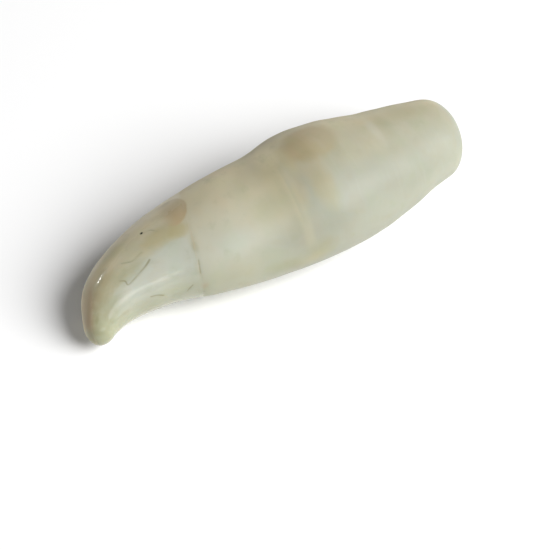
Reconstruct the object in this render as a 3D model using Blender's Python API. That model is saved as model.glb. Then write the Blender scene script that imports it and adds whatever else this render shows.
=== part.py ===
"""A polished whale tooth lying on its side, as one solid.

+X runs from the tip to the root, the tip hooks towards -Y, and +Z is up. The origin is at the middle of
the tooth's box, on the surface that it lies on.
"""

import math

import bmesh
import bpy
import numpy as np
from mathutils import Matrix, Vector

MM = 0.001

# The tooth's sections from the tip to the root, in millimetres and degrees: along and sideways to the
# section's middle, the way the section faces from +X, how far its underside clears the table, half its
# width and half its height. Both ends are rounded off afterwards.
STATIONS = (
    (-61.3, -11.7, 55, 2.4, 3.0, 3.3),
    (-58.4, -7.4, 50, 2.0, 5.2, 5.3),
    (-53.2, -3.2, 38, 1.5, 8.5, 7.8),
    (-45.2, -0.3, 20, 1.1, 11.2, 9.8),
    (-35.5, 1.2, 6, 0.7, 13.5, 11.7),
    (-25.0, 0.6, -3, 0.4, 16.0, 13.5),
    (-14.0, -0.3, -5, 0.1, 17.7, 15.0),
    (-3.0, -1.0, -2, 0.0, 18.7, 15.8),
    (8.0, -0.6, 1, 0.0, 20.3, 16.8),
    (18.5, -0.5, 1, 0.0, 20.0, 16.7),
    (28.5, -0.2, 2, 0.4, 18.5, 15.6),
    (38.5, 0.5, 2, 1.4, 16.4, 14.0),
    (49.0, 1.5, -1, 2.4, 14.0, 12.3),
    (62.9, 2.5, -7, 3.2, 11.9, 9.9),
)
STEPS = 24  # points worked out between each two stations

TIP_CAP = 3.4 * MM  # how far back from the tip the rounded point reaches
TIP_ROUNDNESS = 2.2  # 2 rounds an end off as an ellipse, and more makes it blunter
ROOT_CAP = 8.5 * MM
ROOT_ROUNDNESS = 2.3

CAP_RINGS = 8
BODY_RINGS = 70
SIDES = 44
FIRST_TURN = math.radians(6)  # how far round each end's curve the small face that closes it reaches

# Low growth rings run round the tooth, in millimetres: how far from the tip along the centre line, how far
# the ring's slope reaches to either side, and its height. A groove has a height below 0.
GROWTH_RINGS = (
    (38.5, 1.5, -0.12),  # the lower edge of the enamel crown
    (68.4, 2.4, 0.28),  # where the root's swelling begins
    (99.4, 3.5, -0.30),  # the shallow waist before the root's end
)

REST_LEVEL = 0.3 * MM  # how far above the stations' own table the belly is worn flat

IVORY = (0.62, 0.61, 0.50, 1.0)
ROUGHNESS = 0.35
CREASE = math.radians(40)  # an edge that turns more than this is shaded sharp


def smooth_rows(rows, steps):
    """Rows on the smooth line through the given rows, with so many steps between each two."""
    rows = np.array(rows, float)
    ends = np.vstack([2 * rows[0] - rows[1], rows, 2 * rows[-1] - rows[-2]])
    found = []
    for before, here, after, beyond in zip(ends, ends[1:], ends[2:], ends[3:]):
        for t in np.arange(steps) / steps:
            found.append(
                here
                + 0.5 * t * (after - before)
                + t * t * (before - 2.5 * here + 2 * after - 0.5 * beyond)
                + t**3 * (1.5 * (here - after) + 0.5 * (beyond - before))
            )
    return np.vstack([found, rows[-1]])


def cap_share(from_tip, length):
    """What share of its girth the tooth has there: 1 along the body, and down to 0 round both ends."""
    ends = ((from_tip, TIP_CAP, TIP_ROUNDNESS), (length - from_tip, ROOT_CAP, ROOT_ROUNDNESS))
    share = 1.0
    for inward, cap, roundness in ends:
        if inward < cap:
            share *= (1 - (1 - inward / cap) ** roundness) ** (1 / roundness)
    return share


def growth_relief(from_tip):
    """How far the growth rings raise the surface there, in millimetres."""
    return sum(
        height * math.exp(-(((from_tip / MM - along) / reach) ** 2))
        for along, reach, height in GROWTH_RINGS
    )


def ring_places(length):
    """Distances of the rings from the tip, closer together where the ends turn in."""
    turns = np.linspace(FIRST_TURN, math.pi / 2, CAP_RINGS)
    tip = TIP_CAP * (1 - np.cos(turns))
    root = length - ROOT_CAP * (1 - np.cos(turns))
    body = np.linspace(TIP_CAP, length - ROOT_CAP, BODY_RINGS)
    return np.concatenate([tip, body[1:-1], root[::-1]])


def make_tooth_mesh():
    """Rings set across the centre line, bridged to each other and closed at both ends."""
    rows = smooth_rows(STATIONS, STEPS)
    run = MM * np.concatenate([[0], np.cumsum(np.linalg.norm(np.diff(rows[:, :2], axis=0), axis=1))])
    upright = Matrix(((0, 0, 1, 0), (1, 0, 0, 0), (0, 1, 0, 0), (0, 0, 0, 1)))
    bm = bmesh.new()
    rings = []
    for place in ring_places(run[-1]):
        x, y, facing, rise, half_width, half_height = (np.interp(place, run, column) for column in rows.T)
        relief = growth_relief(place)
        reach = MM * cap_share(place, run[-1]) * np.array((half_width + relief, half_height + relief))
        middle = Matrix.Translation(MM * Vector((x, y, rise + half_height)))
        seat = middle @ Matrix.Rotation(math.radians(facing), 4, "Z") @ upright
        size = Matrix.Diagonal((*reach, 1, 1))
        ring = bmesh.ops.create_circle(bm, segments=SIDES, radius=1, matrix=seat @ size)
        rings.append(list({edge for vert in ring["verts"] for edge in vert.link_edges}))
    for near, far in zip(rings, rings[1:]):
        bmesh.ops.bridge_loops(bm, edges=near + far)
    for end in (rings[0], rings[-1]):
        bmesh.ops.contextual_create(bm, geom=end)
    bmesh.ops.recalc_face_normals(bm, faces=bm.faces)
    return bm


def wear_resting_flat(bm):
    """Cuts the belly off level, which leaves the flat that the tooth lies on."""
    level = Vector((0, 0, REST_LEVEL))
    everything = bm.verts[:] + bm.edges[:] + bm.faces[:]
    cut = bmesh.ops.bisect_plane(
        bm, geom=everything, dist=1e-7, plane_co=level, plane_no=(0, 0, -1), clear_outer=True
    )
    edges = [item for item in cut["geom_cut"] if isinstance(item, bmesh.types.BMEdge)]
    bmesh.ops.edgeloop_fill(bm, edges=edges)
    bmesh.ops.recalc_face_normals(bm, faces=bm.faces)


def stand_on_origin(bm):
    """Moves the tooth so that the origin is the middle of its box, at the height of its base."""
    corners = np.array([vert.co for vert in bm.verts])
    low, high = corners.min(axis=0), corners.max(axis=0)
    middle = (low + high) / 2
    bmesh.ops.translate(bm, verts=bm.verts, vec=(-middle[0], -middle[1], -low[2]))


def ivory_material():
    material = bpy.data.materials.new("ivory")
    material.use_nodes = True
    surface = material.node_tree.nodes["Principled BSDF"]
    surface.inputs["Base Color"].default_value = IVORY
    surface.inputs["Roughness"].default_value = ROUGHNESS
    surface.inputs["Metallic"].default_value = 0.0
    return material


def main():
    for leftover in list(bpy.data.objects):
        bpy.data.objects.remove(leftover)
    bm = make_tooth_mesh()
    wear_resting_flat(bm)
    stand_on_origin(bm)
    mesh = bpy.data.meshes.new("tooth")
    bm.to_mesh(mesh)
    bm.free()
    mesh.shade_smooth()
    mesh.set_sharp_from_angle(angle=CREASE)
    mesh.materials.append(ivory_material())
    tooth = bpy.data.objects.new("tooth", mesh)
    bpy.context.scene.collection.objects.link(tooth)


main()
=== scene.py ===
"""A polished whale tooth on a pale floor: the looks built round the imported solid.

One operator makes the tooth, and one the floor, the lights and the camera. The tooth's own measures are in
millimetres, and those of the settings and the stage in metres. A place on the tooth's surface is in
millimetres from its tip and in degrees round it: 0 is on top, and the angle grows towards the front, the side
that the hook bends to.
"""

import math

import bpy
import numpy as np
from bpy.props import FloatProperty, FloatVectorProperty, PointerProperty
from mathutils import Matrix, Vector


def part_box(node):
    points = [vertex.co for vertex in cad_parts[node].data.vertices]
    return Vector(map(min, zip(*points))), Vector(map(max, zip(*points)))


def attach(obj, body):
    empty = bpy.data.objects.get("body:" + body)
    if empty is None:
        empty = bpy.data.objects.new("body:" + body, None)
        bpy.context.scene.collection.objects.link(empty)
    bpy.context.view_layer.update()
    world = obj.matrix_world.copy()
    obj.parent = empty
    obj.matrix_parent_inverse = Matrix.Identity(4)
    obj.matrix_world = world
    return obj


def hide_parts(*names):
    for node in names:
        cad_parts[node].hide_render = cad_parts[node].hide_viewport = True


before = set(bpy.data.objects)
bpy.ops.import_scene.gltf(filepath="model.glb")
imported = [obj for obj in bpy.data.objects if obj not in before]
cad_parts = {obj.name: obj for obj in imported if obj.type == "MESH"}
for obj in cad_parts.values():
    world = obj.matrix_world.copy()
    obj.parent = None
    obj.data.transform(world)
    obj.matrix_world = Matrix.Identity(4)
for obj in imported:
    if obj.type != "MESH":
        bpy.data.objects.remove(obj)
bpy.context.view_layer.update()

bl_info = {
    "name": "Whale Tooth",
    "version": (1, 0, 0),
    "blender": (4, 5, 0),
    "location": "3D View > Sidebar > Tooth",
    "description": "Models a polished whale tooth lying on its side, with its floor, lights and camera",
    "category": "Add Mesh",
}

MM = 0.001

# The tooth's sections from the tip to the root: along and sideways to the section's middle, the way the
# section faces from +X, how far its underside clears the table, half its width and half its height. Both ends
# are rounded off afterwards.
STATIONS = (
    (-61.3, -11.7, 55, 2.4, 3.0, 3.3),
    (-58.4, -7.4, 50, 2.0, 5.2, 5.3),
    (-53.2, -3.2, 38, 1.5, 8.5, 7.8),
    (-45.2, -0.3, 20, 1.1, 11.2, 9.8),
    (-35.5, 1.2, 6, 0.7, 13.5, 11.7),
    (-25.0, 0.6, -3, 0.4, 16.0, 13.5),
    (-14.0, -0.3, -5, 0.1, 17.7, 15.0),
    (-3.0, -1.0, -2, 0.0, 18.7, 15.8),
    (8.0, -0.6, 1, 0.0, 20.3, 16.8),
    (18.5, -0.5, 1, 0.0, 20.0, 16.7),
    (28.5, -0.2, 2, 0.4, 18.5, 15.6),
    (38.5, 0.5, 2, 1.4, 16.4, 14.0),
    (49.0, 1.5, -1, 2.4, 14.0, 12.3),
    (62.9, 2.5, -7, 3.2, 11.9, 9.9),
)
STEPS = 24  # points worked out between each two stations

TIP_CAP = 3.4  # how far back from the tip the rounded point reaches
TIP_ROUNDNESS = 2.2  # 2 rounds an end off as an ellipse, and more makes it blunter
ROOT_CAP = 8.5
ROOT_ROUNDNESS = 2.3

CAP_RINGS = 10
BODY_RINGS = 140
SIDES = 64
FIRST_TURN = math.radians(3)  # how far round each end's curve the small face that closes it reaches

# Low growth rings run round the tooth: how far from the tip, how far the ring's slope reaches to either
# side, and its height. A groove has a height below 0.
GROWTH_RINGS = (
    (66.9, 2.8, 0.10),  # where the root's swelling begins
    (99.4, 3.5, -0.18),  # the shallow waist before the root's end
)

REST_LEVEL = 0.3  # how far above the stations' own table the belly is worn flat

# Hairline cracks in the enamel and the root: how deep and dirty each is next to the deepest pit, and the line
# of places it takes, from the tip and round the tooth.
CRACKS = (
    (0.28, ((14.4, 12), (15.2, 19), (14.9, 27), (17.1, 27), (20.0, 25), (22.3, 23), (24.3, 20))),
    (0.24, ((18.6, -5), (19.6, 1), (20.7, 5), (22.4, 5), (24.0, 5))),
    (0.24, ((28.2, -16), (29.5, -13), (30.5, -6))),
    (0.36, ((17.7, 68), (20.0, 71), (22.1, 77))),
    (0.34, ((30.4, 87), (31.6, 82), (32.8, 78))),
    (0.24, ((4.5, 50), (6.2, 60), (9.4, 65))),
    (0.26, ((34.1, 92), (36.2, 95))),
    (0.24, ((36.9, 48), (36.5, 55), (36.2, 63))),
    (0.36, ((12.0, -112), (15.5, -104), (19.8, -107), (24.6, -99), (30.5, -103))),
    (0.30, ((21.0, -150), (24.5, -141), (26.0, -143))),
    (0.28, ((58.0, -121), (61.5, -117), (66.0, -119), (72.0, -114))),
    (0.24, ((86.0, 128), (90.5, 131), (97.0, 129))),
)
CRACK_WIDTH = 0.36
# Small pits: from the tip, round the tooth, and how deep and dark each is next to the deepest.
PITS = (
    (27.5, -18.5, 1.0),
    (52.4, -84, 0.5),
    (79.0, -96, 0.4),
    (103.0, -70, 0.4),
    (92.0, 104, 0.4),
)
PIT_WIDTH = 0.42
FINE_REACH = 1.3  # how far from a crack or a pit the mesh is made finer
FINE_CUTS = 4

ENAMEL_TILT = 3.2  # how much further the enamel reaches on the back than on the top
EDGE_DEPTH = 0.035  # of the line pressed in along the enamel's edge
EDGE_WIDTH = 0.8

# Growth lines round the root, from the tip on, each with a depth drawn at random.
LINE_SEED = 5
LINES = 48
LINE_GAP = 3.0
LINE_STEPS = 8  # points worked out between each two lines
LINE_DEPTH = 0.05
LINES_BEGIN = 36  # they have a tenth of their depth here
LINES_GROW = 14  # and all of it so far on

SWELL_SIZE = 13  # how wide the surface's uneven swellings are
SWELL_HEIGHT = 0.5

CREASE = math.radians(40)  # an edge that turns more than this is shaded sharp

FLOOR_SIZE = 8
# The lamps: azimuth from the front and height in degrees, then distance, width and height in metres.
LAMPS = (
    ("key", 46, 40, 2.5, 1.9, 1.9),
    ("glint", -138, 32, 2.5, 0.45, 0.1),
    ("card", -11, 22, 1.2, 0.75, 0.28),
)
LENS = 80  # in millimetres, like the sensor
SENSOR = 36
CAMERA_AZIMUTH = -28.33
CAMERA_HEIGHT = 55  # in degrees above the floor
CAMERA_AIM = (-0.0058, -0.0105, 0)


class ToothSettings(bpy.types.PropertyGroup):
    """What a user may change on the tooth"""

    enamel_edge: FloatProperty(
        name="Enamel edge", description="How far from the tip the enamel ends on top",
        default=0.039, min=0.02, max=0.06, unit="LENGTH",
    )
    crack_depth: FloatProperty(
        name="Crack depth", description="How deep the hairline cracks are",
        default=0.00007, min=0, max=0.001, unit="LENGTH",
    )
    crown_roughness: FloatProperty(
        name="Crown roughness", description="How dull the polished enamel is",
        default=0.24, min=0, max=1, subtype="FACTOR",
    )
    root_roughness: FloatProperty(
        name="Root roughness", description="How dull the rubbed root is",
        default=0.46, min=0, max=1, subtype="FACTOR",
    )
    crown: FloatVectorProperty(
        name="Crown", description="Colour of the enamel",
        default=(0.425, 0.435, 0.35), min=0, max=1, subtype="COLOR",
    )
    body: FloatVectorProperty(
        name="Body", description="Colour of the root next to the enamel",
        default=(0.46, 0.46, 0.37), min=0, max=1, subtype="COLOR",
    )
    # Partly painted shade: the older half is painted darker than its own colour, against the key light that
    # falls strongest on the root.
    root: FloatVectorProperty(
        name="Root", description="Colour of the root's older half",
        default=(0.302, 0.31, 0.243), min=0, max=1, subtype="COLOR",
    )
    tan: FloatVectorProperty(
        name="Tan side", description="Colour that the back has darkened to",
        default=(0.56, 0.505, 0.345), min=0, max=1, subtype="COLOR",
    )
    old: FloatVectorProperty(
        name="Old side", description="Colour that the back of the root's older half has darkened to",
        default=(0.44, 0.405, 0.28), min=0, max=1, subtype="COLOR",
    )
    stain: FloatVectorProperty(
        name="Stain", description="Colour of the tan stains",
        default=(0.475, 0.38, 0.23), min=0, max=1, subtype="COLOR",
    )
    umber: FloatVectorProperty(
        name="Umber", description="Colour of the darker stain, on the root",
        default=(0.4, 0.325, 0.195), min=0, max=1, subtype="COLOR",
    )
    olive: FloatVectorProperty(
        name="Olive", description="Colour of the olive tint at the tip and in front",
        default=(0.315, 0.32, 0.2), min=0, max=1, subtype="COLOR",
    )
    moss: FloatVectorProperty(
        name="Moss", description="Colour of the darkest olive patches",
        default=(0.28, 0.27, 0.15), min=0, max=1, subtype="COLOR",
    )
    honey: FloatVectorProperty(
        name="Honey", description="Colour of the yellow patches",
        default=(0.44, 0.39, 0.22), min=0, max=1, subtype="COLOR",
    )
    blush: FloatVectorProperty(
        name="Blush", description="Colour of the pinkish patch near the tip",
        default=(0.4, 0.305, 0.195), min=0, max=1, subtype="COLOR",
    )
    # Also laid as painted reflection and sheen on the crown's and the body's front; elsewhere the tooth's own
    # paler streaks and clouds.
    pale: FloatVectorProperty(
        name="Pale", description="Colour of the palest streaks and clouds",
        default=(0.5, 0.52, 0.455), min=0, max=1, subtype="COLOR",
    )
    # Painted light: the paler tint that the back is painted with, standing in for light on the back, which
    # the lamps leave in shade.
    painted_back_light: FloatVectorProperty(
        name="Sand", description="Colour that the back's tan pales to lower down",
        default=(0.75, 0.675, 0.465), min=0, max=1, subtype="COLOR",
    )
    # Painted shade: a dark tint laid thinly over a few front patches, to dull where the key light falls
    # brightest.
    painted_shade: FloatVectorProperty(
        name="Shade", description="Colour of the few duller patches",
        default=(0.2, 0.205, 0.15), min=0, max=1, subtype="COLOR",
    )
    dirt: FloatVectorProperty(
        name="Dirt", description="Colour of the dirt in the cracks",
        default=(0.25, 0.24, 0.14), min=0, max=1, subtype="COLOR",
    )
    pit: FloatVectorProperty(
        name="Pit", description="Colour at the bottom of the deepest pit",
        default=(0.02, 0.018, 0.015), min=0, max=1, subtype="COLOR",
    )
    greener: FloatVectorProperty(
        name="Greener", description="What the greenish clouds multiply the colour by",
        default=(0.93, 0.98, 0.92), min=0, max=1, subtype="COLOR",
    )
    pinker: FloatVectorProperty(
        name="Pinker", description="What the pinkish clouds multiply the colour by",
        default=(1.0, 0.965, 0.94), min=0, max=1, subtype="COLOR",
    )


class StageSettings(bpy.types.PropertyGroup):
    """What a user may change on the stage"""

    floor: FloatVectorProperty(
        name="Floor", description="Colour of the floor",
        default=(0.93, 0.93, 0.93), min=0, max=1, subtype="COLOR",
    )
    room: FloatProperty(
        name="Room light", description="Strength of the even light from all round",
        default=0.13, min=0, max=5,
    )
    key: FloatProperty(
        name="Key light", description="Power of the large soft lamp on the right",
        default=102, min=0, max=1000, unit="POWER",
    )
    card: FloatProperty(
        name="Front card", description="Power of the pale card in front, which the crown reflects",
        default=1.4, min=0, max=1000, unit="POWER",
    )
    glint: FloatProperty(
        name="Glint", description="Power of the small lamp behind the tooth on the left",
        default=5.5, min=0, max=1000, unit="POWER",
    )
    distance: FloatProperty(
        name="Camera distance", description="How far the camera stands from the tooth",
        default=0.3545, min=0.1, max=5, unit="LENGTH",
    )


def smooth_rows(rows, steps):
    """Rows on the smooth line through the given rows, with so many steps between each two."""
    rows = np.array(rows, float)
    ends = np.vstack([2 * rows[0] - rows[1], rows, 2 * rows[-1] - rows[-2]])
    found = []
    for before, here, after, beyond in zip(ends, ends[1:], ends[2:], ends[3:]):
        for t in np.arange(steps) / steps:
            found.append(
                here
                + 0.5 * t * (after - before)
                + t * t * (before - 2.5 * here + 2 * after - 0.5 * beyond)
                + t**3 * (1.5 * (here - after) + 0.5 * (beyond - before))
            )
    return np.vstack([found, rows[-1]])


def cap_share(from_tip, length):
    """What share of its girth the tooth has there: 1 along the body, and down to 0 round both ends."""
    ends = ((from_tip, TIP_CAP, TIP_ROUNDNESS), (length - from_tip, ROOT_CAP, ROOT_ROUNDNESS))
    share = 1.0
    for inward, cap, roundness in ends:
        if inward < cap:
            share *= (1 - (1 - inward / cap) ** roundness) ** (1 / roundness)
    return share


def growth_relief(from_tip):
    """How far the growth rings raise the surface there."""
    return sum(
        height * math.exp(-(((from_tip - along) / reach) ** 2)) for along, reach, height in GROWTH_RINGS
    )


def ring_places(length):
    """Distances of the rings from the tip, closer together where the ends turn in."""
    turns = np.linspace(FIRST_TURN, math.pi / 2, CAP_RINGS)
    tip = TIP_CAP * (1 - np.cos(turns))
    root = length - ROOT_CAP * (1 - np.cos(turns))
    body = np.linspace(TIP_CAP, length - ROOT_CAP, BODY_RINGS)
    return np.concatenate([tip, body[1:-1], root[::-1]])


def add_ring(middle, facing, half_width, half_height):
    """Adds one ring of the tooth, set across its centre line."""
    bpy.ops.mesh.primitive_circle_add(
        vertices=SIDES, radius=MM, location=middle, rotation=(0, math.pi / 2, 0)
    )
    if bpy.context.mode == "OBJECT":
        bpy.ops.object.transform_apply()
        bpy.ops.object.mode_set(mode="EDIT")
    bpy.ops.transform.resize(value=(1, half_width, half_height), center_override=middle)
    bpy.ops.transform.rotate(value=-math.radians(facing), orient_axis="Z", center_override=middle)


def centre_line():
    """The tooth's smooth sections, and how far each is from the tip along the centre line."""
    rows = smooth_rows(STATIONS, STEPS)
    steps = np.linalg.norm(np.diff(rows[:, :2], axis=0), axis=1)
    return np.concatenate([[0], np.cumsum(steps)]), rows


def loft_tooth():
    """Sets a ring across the centre line at each place, bridges them all and closes both ends."""
    run, rows = centre_line()
    places = ring_places(run[-1])
    bpy.ops.object.select_all(action="DESELECT")
    for place in places:
        x, y, facing, rise, half_width, half_height = (np.interp(place, run, column) for column in rows.T)
        relief = growth_relief(place)
        share = cap_share(place, run[-1])
        middle = (x * MM, y * MM, (rise + half_height) * MM)
        add_ring(middle, facing, share * (half_width + relief), share * (half_height + relief))
    bpy.ops.mesh.select_all(action="SELECT")
    bpy.ops.mesh.bridge_edge_loops()
    bpy.ops.mesh.select_mode(type="EDGE")
    bpy.ops.mesh.select_all(action="DESELECT")
    bpy.ops.mesh.select_non_manifold(extend=False)
    bpy.ops.mesh.edge_face_add()
    bpy.ops.mesh.select_all(action="SELECT")
    bpy.ops.mesh.normals_make_consistent(inside=False)
    bpy.ops.object.mode_set(mode="OBJECT")
    tooth = bpy.context.object
    tooth.name = "ivory_tooth"
    tooth.data.name = "ivory_tooth"
    mark_growth(tooth, places)
    return tooth


def mark_growth(tooth, places):
    """Keeps at each point how far it is from the tip, and its turn round the tooth as up and front shares."""
    turn = 2 * math.pi * np.arange(SIDES) / SIDES
    grain = np.zeros((len(places), SIDES, 3), np.float32)
    grain[:, :, 0] = places[:, None]
    grain[:, :, 1] = np.sin(turn)
    grain[:, :, 2] = -np.cos(turn)
    growth = tooth.data.attributes.new("growth", "FLOAT_VECTOR", "POINT")
    growth.data.foreach_set("vector", grain.ravel())


def growth_of(tooth):
    """Each point's distance from the tip, and its turn round the tooth."""
    values = np.zeros(len(tooth.data.vertices) * 3, np.float32)
    tooth.data.attributes["growth"].data.foreach_get("vector", values)
    along, up, front = values.reshape(-1, 3).T.astype(float)
    return along, np.degrees(np.arctan2(front, up))


def distance_to(line, along, around):
    """How far each point is from a smooth line of places, in millimetres over the surface."""
    run, rows = centre_line()
    stops = smooth_rows(line, 6) if len(line) > 1 else np.array(line, float)
    girth = np.interp(stops[:, 0].mean(), run, rows[:, 4:].mean(axis=1))
    scale = (1, math.radians(girth))
    stops = stops * scale
    points = np.stack([along, around], axis=1) * scale
    distance = np.linalg.norm(points - stops[0], axis=1)
    for start, end in zip(stops, stops[1:]):
        step = end - start
        share = np.clip((points - start) @ step / (step @ step), 0, 1)
        distance = np.minimum(distance, np.linalg.norm(points - start - share[:, None] * step, axis=1))
    return distance


def make_finer(tooth):
    """Splits the faces next to the cracks and pits, so that such fine lines can be pressed in."""
    along, around = growth_of(tooth)
    near = np.zeros(len(along), bool)
    for line in (*(line for share, line in CRACKS), *((pit[:2],) for pit in PITS)):
        near |= distance_to(line, along, around) < FINE_REACH
    for face in tooth.data.polygons:
        face.select = any(near[vertex] for vertex in face.vertices)
    bpy.ops.object.mode_set(mode="EDIT")
    bpy.ops.mesh.select_mode(type="FACE")
    bpy.ops.mesh.subdivide(number_cuts=FINE_CUTS, smoothness=1)
    bpy.ops.object.mode_set(mode="OBJECT")


def press_in(tooth, name, depth, weights):
    """Presses the surface in by the depth times each point's weight."""
    group = tooth.vertex_groups.new(name=name)
    for index in np.flatnonzero(weights > 0.01):
        group.add([int(index)], float(weights[index]), "REPLACE")
    press = tooth.modifiers.new(name, "DISPLACE")
    press.vertex_group = name
    press.mid_level = 0
    press.strength = -depth
    bpy.ops.object.modifier_apply(modifier=name)
    tooth.vertex_groups.remove(tooth.vertex_groups[name])


def carve_cracks(tooth, depth):
    """Presses the cracks and pits in, and keeps how dirty each point is for the colours."""
    along, around = growth_of(tooth)
    weights = np.zeros(len(along))
    for share, line in CRACKS:
        gap = distance_to(line, along, around)
        weights = np.maximum(weights, share * np.exp(-((gap / CRACK_WIDTH) ** 2)))
    for place, turn, share in PITS:
        gap = distance_to(((place, turn),), along, around)
        weights = np.maximum(weights, share * np.exp(-((gap / PIT_WIDTH) ** 2)))
    press_in(tooth, "cracks", depth, weights)
    dirt = tooth.data.attributes.new("dirt", "FLOAT", "POINT")
    dirt.data.foreach_set("value", weights.astype(np.float32))


def carve_enamel_edge(tooth, edge):
    """Presses a fine line in where the enamel ends."""
    along, around = growth_of(tooth)
    edge = edge / MM - ENAMEL_TILT * np.sin(np.radians(around))
    press_in(tooth, "enamel edge", EDGE_DEPTH * MM, np.exp(-(((along - edge) / EDGE_WIDTH) ** 2)))


def carve_growth_lines(tooth):
    """Presses shallow uneven lines in round the root, where it grew year by year."""
    along, around = growth_of(tooth)
    draw = np.random.default_rng(LINE_SEED)
    heights = smooth_rows(draw.random((LINES, 1)), LINE_STEPS)[:, 0]
    wander = 0.9 * np.sin(np.radians(2 * around + 40)) + 0.5 * np.sin(np.radians(3 * around))
    weights = np.interp(along + wander, LINE_GAP / LINE_STEPS * np.arange(len(heights)), heights)
    weights *= np.clip((along - LINES_BEGIN) / LINES_GROW, 0.1, 1)
    press_in(tooth, "growth lines", LINE_DEPTH * MM, np.clip(weights, 0, 1))


def swell_unevenly(tooth):
    """Gives the surface the slight unevenness of something grown."""
    clouds = bpy.data.textures.new("swelling", "CLOUDS")
    clouds.noise_scale = SWELL_SIZE * MM
    clouds.noise_depth = 1
    swelling = tooth.modifiers.new("swelling", "DISPLACE")
    swelling.texture = clouds
    swelling.texture_coords = "LOCAL"
    swelling.mid_level = 0.5
    swelling.strength = SWELL_HEIGHT * MM
    bpy.ops.object.modifier_apply(modifier=swelling.name)


def stand_on_cad_box(tooth):
    """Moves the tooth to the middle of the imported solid's box, and wears its belly level at the floor."""
    low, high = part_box("tooth")
    corners = np.array([vert.co for vert in tooth.data.vertices])
    mine = (corners.min(axis=0) + corners.max(axis=0)) / 2
    middle = (low + high) / 2
    bpy.ops.object.mode_set(mode="EDIT")
    bpy.ops.mesh.select_all(action="SELECT")
    bpy.ops.transform.translate(value=(middle.x - mine[0], middle.y - mine[1], -REST_LEVEL * MM))
    bpy.ops.mesh.bisect(
        plane_co=(0, 0, 0), plane_no=(0, 0, -1), use_fill=True, clear_outer=True, threshold=1e-7
    )
    bpy.ops.object.mode_set(mode="OBJECT")


class Amount:
    """A number that varies over a surface. A sum written with it adds the node that works it out."""

    def __init__(self, recipe, socket):
        self.recipe = recipe
        self.socket = socket

    def __add__(self, other):
        return self.recipe.sum("ADD", self, other)

    __radd__ = __add__

    def __sub__(self, other):
        return self.recipe.sum("SUBTRACT", self, other)

    def __rsub__(self, other):
        return self.recipe.sum("SUBTRACT", other, self)

    def __mul__(self, other):
        return self.recipe.sum("MULTIPLY", self, other)

    __rmul__ = __mul__

    def __truediv__(self, other):
        return self.recipe.sum("DIVIDE", self, other)


class Recipe:
    """The nodes of one material."""

    def __init__(self, name):
        self.material = bpy.data.materials.new(name)
        self.material.use_nodes = True
        self.tree = self.material.node_tree
        self.surface = self.tree.nodes["Principled BSDF"]

    def feed(self, socket, value):
        if isinstance(value, Amount):
            self.tree.links.new(value.socket, socket)
        elif isinstance(value, bpy.types.NodeSocket):
            self.tree.links.new(value, socket)
        elif socket.type == "RGBA" and len(value) == 3:
            socket.default_value = (*value, 1)
        else:
            socket.default_value = value

    def add(self, kind, settings, sockets):
        """Adds a node of the given type, with its settings, and then what goes into its sockets."""
        node = self.tree.nodes.new(kind)
        for name, value in settings.items():
            setattr(node, name, value)
        for name, value in sockets.items():
            self.feed(node.inputs[name], value)
        return node

    def finish(self, sockets):
        for name, value in sockets.items():
            self.feed(self.surface.inputs[name], value)
        return self.material

    def sum(self, operation, *values):
        node = self.add("ShaderNodeMath", {"operation": operation}, dict(enumerate(values)))
        return Amount(self, node.outputs[0])

    def fade(self, value, start, end):
        """0 up to the start, 1 from the end on, and a smooth change between them."""
        settings = {"interpolation_type": "SMOOTHSTEP"}
        sockets = {"Value": value, "From Min": start, "From Max": end}
        return Amount(self, self.add("ShaderNodeMapRange", settings, sockets).outputs["Result"])

    def between(self, value, one_end, other_end):
        """1 along a stretch and 0 past its ends. Each end says where it is 0 and where it is 1."""
        return self.fade(value, *one_end) * self.fade(value, *other_end)

    def blend(self, share, under, over, kind="MIX"):
        """One colour over another, or multiplied by it, by the given share."""
        settings = {"data_type": "RGBA", "blend_type": kind}
        return self.add("ShaderNodeMix", settings, {0: share, 6: under, 7: over}).outputs[2]

    def place(self, along, up, front):
        sockets = {0: along, 1: up, 2: front}
        return self.add("ShaderNodeCombineXYZ", {}, sockets).outputs[0]

    def noise(self, vector, scale, detail):
        sockets = {"Vector": vector, "Scale": scale, "Detail": detail}
        return Amount(self, self.add("ShaderNodeTexNoise", {}, sockets).outputs[0])


TINTS = (
    "crown", "body", "root", "tan", "old", "stain", "umber", "olive", "moss", "honey", "blush", "pale",
    "painted_back_light", "painted_shade", "dirt", "pit", "greener", "pinker",
)

# Where the main tints lie, from the tip or round the tooth: each pair is where there is none of a tint yet
# and where it is full, and a pair of pairs gives both ends of a stretch.
FULL_GIRTH = ((0, 9), (129, 119))
# Where the root's older half begins, painted darker partly as painted shade.
ROOT_DARKENS = (48, 67)
ROOT_END_PALES = (106, 122)
ROOT_END_GREYS = (121, 127.5)
TIP_GREENS = (3, 0.8)
BACK_TANS = (46, -26)
BACK_LEAVES_BELLY = (-178, -120)
# Painted light: where the back's tan is painted paler, further round from the top.
BACK_LIGHT_PAINTED = (-2, -40)
BACK_DULLS = (-10, -50)
CROWN_GLOSSES = (-50, -20)
FRONT_PALES = (60, 84)
FRONT_GREENS = (45, 85)
BAND_ALONG = ((50, 62), (67.0, 66.2))
BAND_AROUND = ((-40, -10), (62, 22))
RIDGE_ALONG = ((65.0, 66.7), (69.2, 67.5))
RIDGE_AROUND = ((-30, 0), (88, 66))
# Painted reflection: the pale zone on the crown's front, which stands in for a lamp's soft reflection.
PAINTED_REFLECTION_ALONG = (4, 17)
PAINTED_REFLECTION_STARTS = (14, 21)
PAINTED_REFLECTION_ENDS = (76, 46)
SEAM_AROUND = ((6, 22), (84, 62))
# The same, from the enamel's edge.
BODY_STARTS = (-1.2, 1.0)
POLISH_DULLS = (-0.4, 0.4)
# Where the painted reflection fades out before the enamel's edge.
PAINTED_REFLECTION_STOPS = (-0.2, -2)
SEAM_REACH = (0.5, 0.1)

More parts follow.
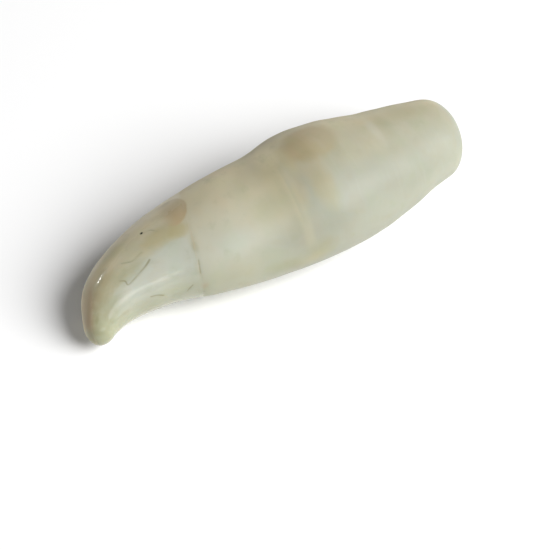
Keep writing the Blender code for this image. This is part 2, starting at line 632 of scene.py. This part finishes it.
# The crisp stain on the crown: its middle and its reach from the tip and round the tooth, and where it fills.
STAIN_MIDDLE = (36, -21)
STAIN_REACH = (4.9, 24)
STAIN_FILLS_ALONG = (32.4, 36.6)
STAIN_FILLS_AROUND = (-34, -6)

# Tinted patches that lie over the tooth's general colour: the colour, its middle from the tip and round the
# tooth, how far it reaches each way, how much of it is at full strength, and how strong that is.
PATCHES = (
    ("olive", (0.5, 30), (11.0, 110), 0.1, 0.85),
    ("olive", (5.5, 80), (3.6, 24), 0.2, 0.2),
    ("blush", (6.0, -38), (10.0, 36), 0.2, 0.85),
    ("moss", (4.1, -2), (1.7, 8), 0.2, 0.55),
    ("stain", (11.5, -11), (6.0, 13), 0.2, 0.4),
    ("honey", (19.0, -33), (7.5, 20), 0.1, 0.45),
    ("olive", (17.5, 16), (7.0, 14), 0.3, 0.45),
    # Painted light, paling the crown's back where the lamps leave it in shade.
    ("painted_back_light", (11.0, -50), (9.0, 20), 0.3, 0.3),
    ("moss", (11.0, -4), (8.5, 25), 0.3, 0.42),
    ("moss", (12.6, -22), (4.5, 10), 0.2, 0.5),
    ("moss", (5.2, -12), (2.4, 9), 0.2, 0.3),
    ("moss", (8.5, 24), (5.5, 18), 0.2, 0.3),
    # Painted light, paling the crown's back where the lamps leave it in shade.
    ("painted_back_light", (31.5, -24), (6.0, 18), 0.2, 0.3),
    ("honey", (30.0, 2), (8.0, 15), 0.3, 0.7),
    ("honey", (35.5, 8), (4.0, 11), 0.3, 0.7),
    ("moss", (37.4, 33), (1.3, 9), 0.3, 0.28),
    ("blush", (36.7, 83), (1.8, 7), 0.2, 0.35),
    ("olive", (15.0, 98), (12.0, 20), 0.1, 0.4),
    # Painted sheen of the key light along the body's front.
    ("pale", (48.5, 46), (8.0, 17), 0.1, 0.45),
    ("umber", (79.6, -15), (9.0, 24), 0.62, 0.6),
    ("umber", (75.6, -12), (5.2, 20), 0.4, 0.75),
    ("old", (83.0, -10), (8.0, 18), 0.1, 0.3),
    ("umber", (74.5, 8), (4.0, 22), 0.2, 0.2),
    ("olive", (60.5, 27), (7.5, 18), 0.2, 0.4),
    ("stain", (68.8, 26), (2.6, 18), 0.2, 0.3),
    ("umber", (75.5, 30), (4.2, 24), 0.2, 0.4),
    ("moss", (75.5, 32), (4.5, 22), 0.3, 0.4),
    ("stain", (66.0, 52), (7.0, 26), 0.2, 0.12),
    ("moss", (75.5, 0), (4.0, 9), 0.2, 0.3),
    ("honey", (75.0, -26), (3.5, 9), 0.2, 0.35),
    # Painted light, paling the back before the root's ridge where the lamps leave it in shade.
    ("painted_back_light", (66.5, -30), (5.0, 28), 0.2, 0.6),
    ("honey", (66.0, -8), (7.0, 20), 0.2, 0.25),
    ("honey", (64.3, 8), (3.2, 22), 0.2, 0.25),
    ("honey", (70.2, -8), (2.4, 26), 0.2, 0.35),
    ("pale", (90.0, -6), (7.0, 18), 0.2, 0.1),
    # Painted shade on the root's front, dulling the key light's bright band.
    ("painted_shade", (91.0, 41), (14.0, 20), 0.3, 0.25),
    # Painted light low on the root's front, where the key light falls less.
    ("pale", (88.0, 67), (13.0, 14), 0.2, 0.08),
    # Painted shade on the crown's front.
    ("painted_shade", (26.0, 94), (6.5, 15), 0.2, 0.16),
    # Painted shade on the crown's front, near the tip.
    ("painted_shade", (9.5, 31), (4.5, 12), 0.2, 0.12),
    ("moss", (69.5, 83), (6.5, 17), 0.1, 0.5),
    ("honey", (67.0, 94), (7.5, 14), 0.1, 0.4),
    ("olive", (60.0, 90), (6.5, 16), 0.1, 0.75),
    ("old", (112.0, -18), (9.0, 22), 0.2, 0.5),
    ("olive", (111.0, -16), (9.0, 16), 0.2, 0.25),
    ("olive", (102.6, -4), (3.2, 26), 0.1, 0.35),
    ("pale", (98.6, -4), (2.2, 26), 0.1, 0.25),
    ("pale", (104.0, 6), (16.0, 18), 0.2, 0.14),
    ("stain", (63.0, -128), (12.0, 30), 0.2, 0.5),
    ("honey", (95.0, -105), (11.0, 28), 0.2, 0.3),
    ("honey", (22.0, -132), (7.0, 24), 0.2, 0.4),
)


class Surface:
    """Where a point is on the tooth, and the noises there, for the colours and the polish to follow."""

    def __init__(self, recipe, enamel_edge):
        self.recipe = recipe
        growth = recipe.add("ShaderNodeAttribute", {"attribute_name": "growth"}, {}).outputs["Vector"]
        parts = recipe.add("ShaderNodeSeparateXYZ", {}, {0: growth})
        self.along, up, front = (Amount(recipe, parts.outputs[index]) for index in range(3))
        self.around = recipe.sum("DEGREES", recipe.sum("ARCTAN2", front, up))
        dirt = recipe.add("ShaderNodeAttribute", {"attribute_name": "dirt"}, {}).outputs["Fac"]
        self.dirt = Amount(recipe, dirt)

        girth = recipe.between(self.along, *FULL_GIRTH)
        self.above = up * girth
        self.ahead = front * girth
        self.cloudy = self.noise(0.08, 1.2, 3)
        self.mottled = self.noise(0.17, 2.4, 2, shift=5)
        self.ragged = self.noise(0.3, 4.2, 4)
        self.streaky = self.noise(0.4, 1.2, 3)
        self.grainy = self.noise(3.0, 30, 2)

        self.past_edge = self.along - (enamel_edge / MM - front * ENAMEL_TILT)
        self.on_root = recipe.fade(self.past_edge, *POLISH_DULLS)
        # The root's older half, painted darker partly as painted shade.
        self.aged_and_shaded = recipe.fade(self.along + (self.cloudy - 0.5) * 10, *ROOT_DARKENS)

    def noise(self, along_fineness, round_fineness, detail, shift=0):
        """A noise of the given fineness along the tooth and round it, moved aside by the shift."""
        up = self.above * round_fineness + shift
        place = self.recipe.place(self.along * along_fineness, up, self.ahead * round_fineness)
        return self.recipe.noise(place, 1.0, detail)

    def oval(self, along, middle, reach):
        """0 in the middle of an oval on the surface, and 1 at its edge."""
        off_along = (along - middle[0]) / reach[0]
        off_around = (self.around - middle[1]) / reach[1]
        return self.recipe.sum("SQRT", off_along * off_along + off_around * off_around)


class Paint:
    """The tooth's colour, built up in layers over the crown's."""

    def __init__(self, recipe, settings):
        self.recipe = recipe
        self.tints = {name: tuple(getattr(settings, name)) for name in TINTS}
        self.colour = self.tints["crown"]

    def lay(self, share, tint, kind="MIX"):
        """Lays a tint, or another colour, over what is there by the given share."""
        over = self.tints[tint] if isinstance(tint, str) else tint
        self.colour = self.recipe.blend(share, self.colour, over, kind)


def paint_ground(paint, surface):
    """The root's two halves, and the back and the front, which age has tinted. The back's tan is painted
    paler as painted light, and the root's older half darker partly as painted shade.
    """
    recipe, around, aged_and_shaded, tints = surface.recipe, surface.around, surface.aged_and_shaded, paint.tints
    paint.lay(recipe.fade(surface.past_edge, *BODY_STARTS), "body")
    # The older half, darker in its own colour and partly as painted shade against the strong key light on the
    # root.
    paint.lay(aged_and_shaded, "root")
    paint.lay(recipe.fade(surface.along, *ROOT_END_PALES) * 0.28, "crown")
    tan = recipe.blend(aged_and_shaded, tints["tan"], tints["old"])
    # Painted light: the back's tan is painted paler further round, where the lamps leave the back in shade.
    tan = recipe.blend(recipe.fade(around, *BACK_LIGHT_PAINTED) * (0.9 - 0.4 * aged_and_shaded), tan, tints["painted_back_light"])
    wander = (surface.cloudy - 0.5) * 34 + (surface.ragged - 0.5) * 14
    back = recipe.fade(around + wander, *BACK_TANS) * recipe.fade(around, *BACK_LEAVES_BELLY)
    paint.lay(back * 0.95, tan)
    paint.lay(recipe.fade(around, *FRONT_PALES) * aged_and_shaded * 0.22, "body")
    paint.lay(recipe.fade(around, *FRONT_GREENS) * (1 - aged_and_shaded) * 0.5, "olive")


def paint_rings(paint, surface):
    """The tan band before the root's ridge, the ridge itself, and a painted reflection on the crown's front:
    a pale zone standing in for the soft reflection of a light in front.
    """
    recipe, along, around = surface.recipe, surface.along, surface.around
    band = recipe.between(along, *BAND_ALONG) * recipe.between(around, *BAND_AROUND)
    paint.lay(band * 0.7, "old")
    ridge = recipe.between(along, *RIDGE_ALONG) * recipe.between(around, *RIDGE_AROUND)
    paint.lay(ridge * 0.2, "tan")
    # Painted reflection: a pale zone along the crown's front, standing in for the soft reflection of a light
    # in front.
    painted_reflection = recipe.fade(around + (surface.ragged - 0.5) * 6, *PAINTED_REFLECTION_STARTS) * recipe.fade(around, *PAINTED_REFLECTION_ENDS)
    painted_reflection = painted_reflection * recipe.fade(along, *PAINTED_REFLECTION_ALONG) * recipe.fade(surface.past_edge, *PAINTED_REFLECTION_STOPS)
    paint.lay(painted_reflection * 0.6, "pale")


def paint_patches(paint, surface):
    """The patches, both ends of the tooth, and the crisp stain on the crown."""
    recipe, along = surface.recipe, surface.along
    for name, middle, reach, full, strength in PATCHES:
        distance = surface.oval(along, middle, reach) + (surface.ragged - 0.5) * 0.5
        paint.lay(recipe.fade(distance, 1.1, full) * strength, name)
    paint.lay(recipe.fade(along, *TIP_GREENS) * 0.75, "olive")
    paint.lay(recipe.fade(along, *ROOT_END_GREYS), "root")
    distance = surface.oval(along + (surface.ragged - 0.5) * 0.8, STAIN_MIDDLE, STAIN_REACH)
    fill = recipe.fade(along, *STAIN_FILLS_ALONG)
    fill = fill * (0.45 + 0.55 * recipe.fade(surface.around, *STAIN_FILLS_AROUND))
    paint.lay(recipe.fade(distance, 1.03, 0.9) * fill, "stain")


def paint_wear(paint, surface):
    """Faint streaks and clouds, the stain along the enamel's edge, and the dirt in the cracks and pits."""
    recipe, dirt, ragged = surface.recipe, surface.dirt, surface.ragged
    uneven = 0.3 + 0.7 * surface.on_root
    paint.lay(recipe.fade(surface.streaky, 0.5, 0.75) * uneven * 0.05, "old")
    paint.lay(recipe.fade(surface.streaky, 0.48, 0.25) * uneven * 0.05, "pale")
    paint.lay(recipe.fade(ragged, 0.52, 0.8) * 0.25, "olive")
    paint.lay(recipe.fade(surface.mottled, 0.5, 0.68) * 0.4, "greener", "MULTIPLY")
    paint.lay(recipe.fade(surface.mottled, 0.5, 0.32) * 0.55, "pinker", "MULTIPLY")
    seam = recipe.fade(recipe.sum("ABSOLUTE", surface.past_edge), *SEAM_REACH)
    seam = seam * recipe.between(surface.around, *SEAM_AROUND)
    paint.lay(seam * (0.03 + 0.25 * recipe.fade(ragged, 0.47, 0.6)), "stain")
    paint.lay(recipe.fade(dirt * (0.2 + 1.6 * ragged), 0.02, 0.5), "dirt")
    paint.lay(recipe.fade(dirt, 0.5, 0.7), "pit")


def ivory(settings):
    """The tooth's one material: enamel, root, the tints that age has left on them, painted light, shade and
    reflection laid over them, and their polish.
    """
    recipe = Recipe("ivory")
    surface = Surface(recipe, settings.enamel_edge)
    paint = Paint(recipe, settings)
    paint_ground(paint, surface)
    paint_rings(paint, surface)
    paint_patches(paint, surface)
    paint_wear(paint, surface)

    on_root, around = surface.on_root, surface.around
    polish = settings.crown_roughness + on_root * (settings.root_roughness - settings.crown_roughness)
    dulled = (surface.ragged - 0.5) * 0.14 + surface.dirt * 0.3 + recipe.fade(around, *BACK_DULLS) * 0.2
    height = (surface.streaky + surface.grainy * 0.1) * (0.05 + 0.95 * on_root)
    bump = recipe.add("ShaderNodeBump", {}, {"Strength": 0.12, "Distance": 0.00008, "Height": height})
    return recipe.finish({
        "Base Color": paint.colour,
        "Roughness": polish + dulled,
        "Coat Weight": (1 - on_root) * recipe.fade(around, *CROWN_GLOSSES) * 0.4,
        "Coat Roughness": 0.05,
        "Specular IOR Level": 0.4,
        "Subsurface Weight": 0.3,
        "Subsurface Radius": (0.005, 0.0035, 0.002),
        "Subsurface Scale": 1.0,
        "IOR": 1.5,
        "Normal": bump.outputs["Normal"],
    })


class TOOTH_OT_model(bpy.types.Operator):
    """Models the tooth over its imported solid"""

    bl_idname = "tooth.model"
    bl_label = "Tooth"

    def execute(self, context):
        settings = context.scene.tooth
        tooth = loft_tooth()
        smooth = tooth.modifiers.new("smooth", "SUBSURF")
        smooth.levels = 1
        smooth.render_levels = 1
        bpy.ops.object.modifier_apply(modifier=smooth.name)
        swell_unevenly(tooth)
        carve_growth_lines(tooth)
        carve_enamel_edge(tooth, settings.enamel_edge)
        make_finer(tooth)
        carve_cracks(tooth, settings.crack_depth)
        stand_on_cad_box(tooth)
        bpy.ops.object.shade_smooth_by_angle(angle=CREASE)
        tooth.data.materials.clear()
        tooth.data.materials.append(ivory(settings))
        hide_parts("tooth")
        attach(tooth, "root")
        return {"FINISHED"}


def direction(azimuth, elevation):
    """The way to a place at that azimuth from the front and that height above the floor, in degrees."""
    turn, lift = math.radians(azimuth), math.radians(elevation)
    return Vector((math.sin(turn) * math.cos(lift), -math.cos(turn) * math.cos(lift), math.sin(lift)))


def add_lamp(name, azimuth, elevation, distance, width, height, power):
    """Adds a soft lamp of that width and height, turned to the tooth."""
    lamp = bpy.data.lights.new(name, "AREA")
    lamp.shape = "ELLIPSE"
    lamp.size = width
    lamp.size_y = height
    lamp.energy = power
    holder = bpy.data.objects.new(name, lamp)
    bpy.context.scene.collection.objects.link(holder)
    way = direction(azimuth, elevation)
    holder.location = way * distance
    holder.rotation_euler = way.to_track_quat("Z", "Y").to_euler()


def lay_floor(colour):
    bpy.ops.object.select_all(action="DESELECT")
    bpy.ops.mesh.primitive_plane_add(size=FLOOR_SIZE, location=(0, 0, 0))
    floor = bpy.context.object
    floor.name = "floor"
    recipe = Recipe("floor")
    floor.data.materials.append(recipe.finish({
        "Base Color": tuple(colour),
        "Roughness": 0.9,
        "Specular IOR Level": 0.0,
    }))


def light_room(strength):
    world = bpy.data.worlds.new("room")
    world.use_nodes = True
    background = world.node_tree.nodes["Background"]
    background.inputs["Color"].default_value = (1, 1, 1, 1)
    background.inputs["Strength"].default_value = strength
    bpy.context.scene.world = world
    bpy.context.scene.view_settings.view_transform = "Standard"


def stand_camera(distance):
    camera = bpy.data.cameras.new("camera")
    camera.lens = LENS
    camera.sensor_width = SENSOR
    camera.clip_start = 0.01
    camera.clip_end = 20
    holder = bpy.data.objects.new("camera", camera)
    bpy.context.scene.collection.objects.link(holder)
    back = direction(CAMERA_AZIMUTH, CAMERA_HEIGHT)
    holder.location = Vector(CAMERA_AIM) + back * distance
    holder.rotation_euler = back.to_track_quat("Z", "Y").to_euler()
    bpy.context.scene.camera = holder


class TOOTH_OT_stage(bpy.types.Operator):
    """Sets the floor, the lights and the camera"""

    bl_idname = "tooth.stage"
    bl_label = "Stage"

    def execute(self, context):
        settings = context.scene.tooth_stage
        lay_floor(settings.floor)
        light_room(settings.room)
        for name, *place in LAMPS:
            add_lamp(name, *place, getattr(settings, name))
        stand_camera(settings.distance)
        return {"FINISHED"}


class TOOTH_PT_sidebar(bpy.types.Panel):
    """Lists the tooth's and the stage's operators and settings"""

    bl_idname = "TOOTH_PT_sidebar"
    bl_label = "Whale Tooth"
    bl_space_type = "VIEW_3D"
    bl_region_type = "UI"
    bl_category = "Tooth"

    def draw(self, context):
        for operator, settings in (("tooth.model", "tooth"), ("tooth.stage", "tooth_stage")):
            group = getattr(context.scene, settings)
            self.layout.operator(operator)
            for name in group.__annotations__:
                self.layout.prop(group, name)


CLASSES = (ToothSettings, StageSettings, TOOTH_OT_model, TOOTH_OT_stage, TOOTH_PT_sidebar)


def register():
    for made in CLASSES:
        bpy.utils.register_class(made)
    bpy.types.Scene.tooth = PointerProperty(type=ToothSettings)
    bpy.types.Scene.tooth_stage = PointerProperty(type=StageSettings)


def unregister():
    del bpy.types.Scene.tooth_stage
    del bpy.types.Scene.tooth
    for made in reversed(CLASSES):
        bpy.utils.unregister_class(made)


def main():
    register()
    bpy.ops.tooth.model()
    bpy.ops.tooth.stage()


if __name__ == "__main__":
    main()
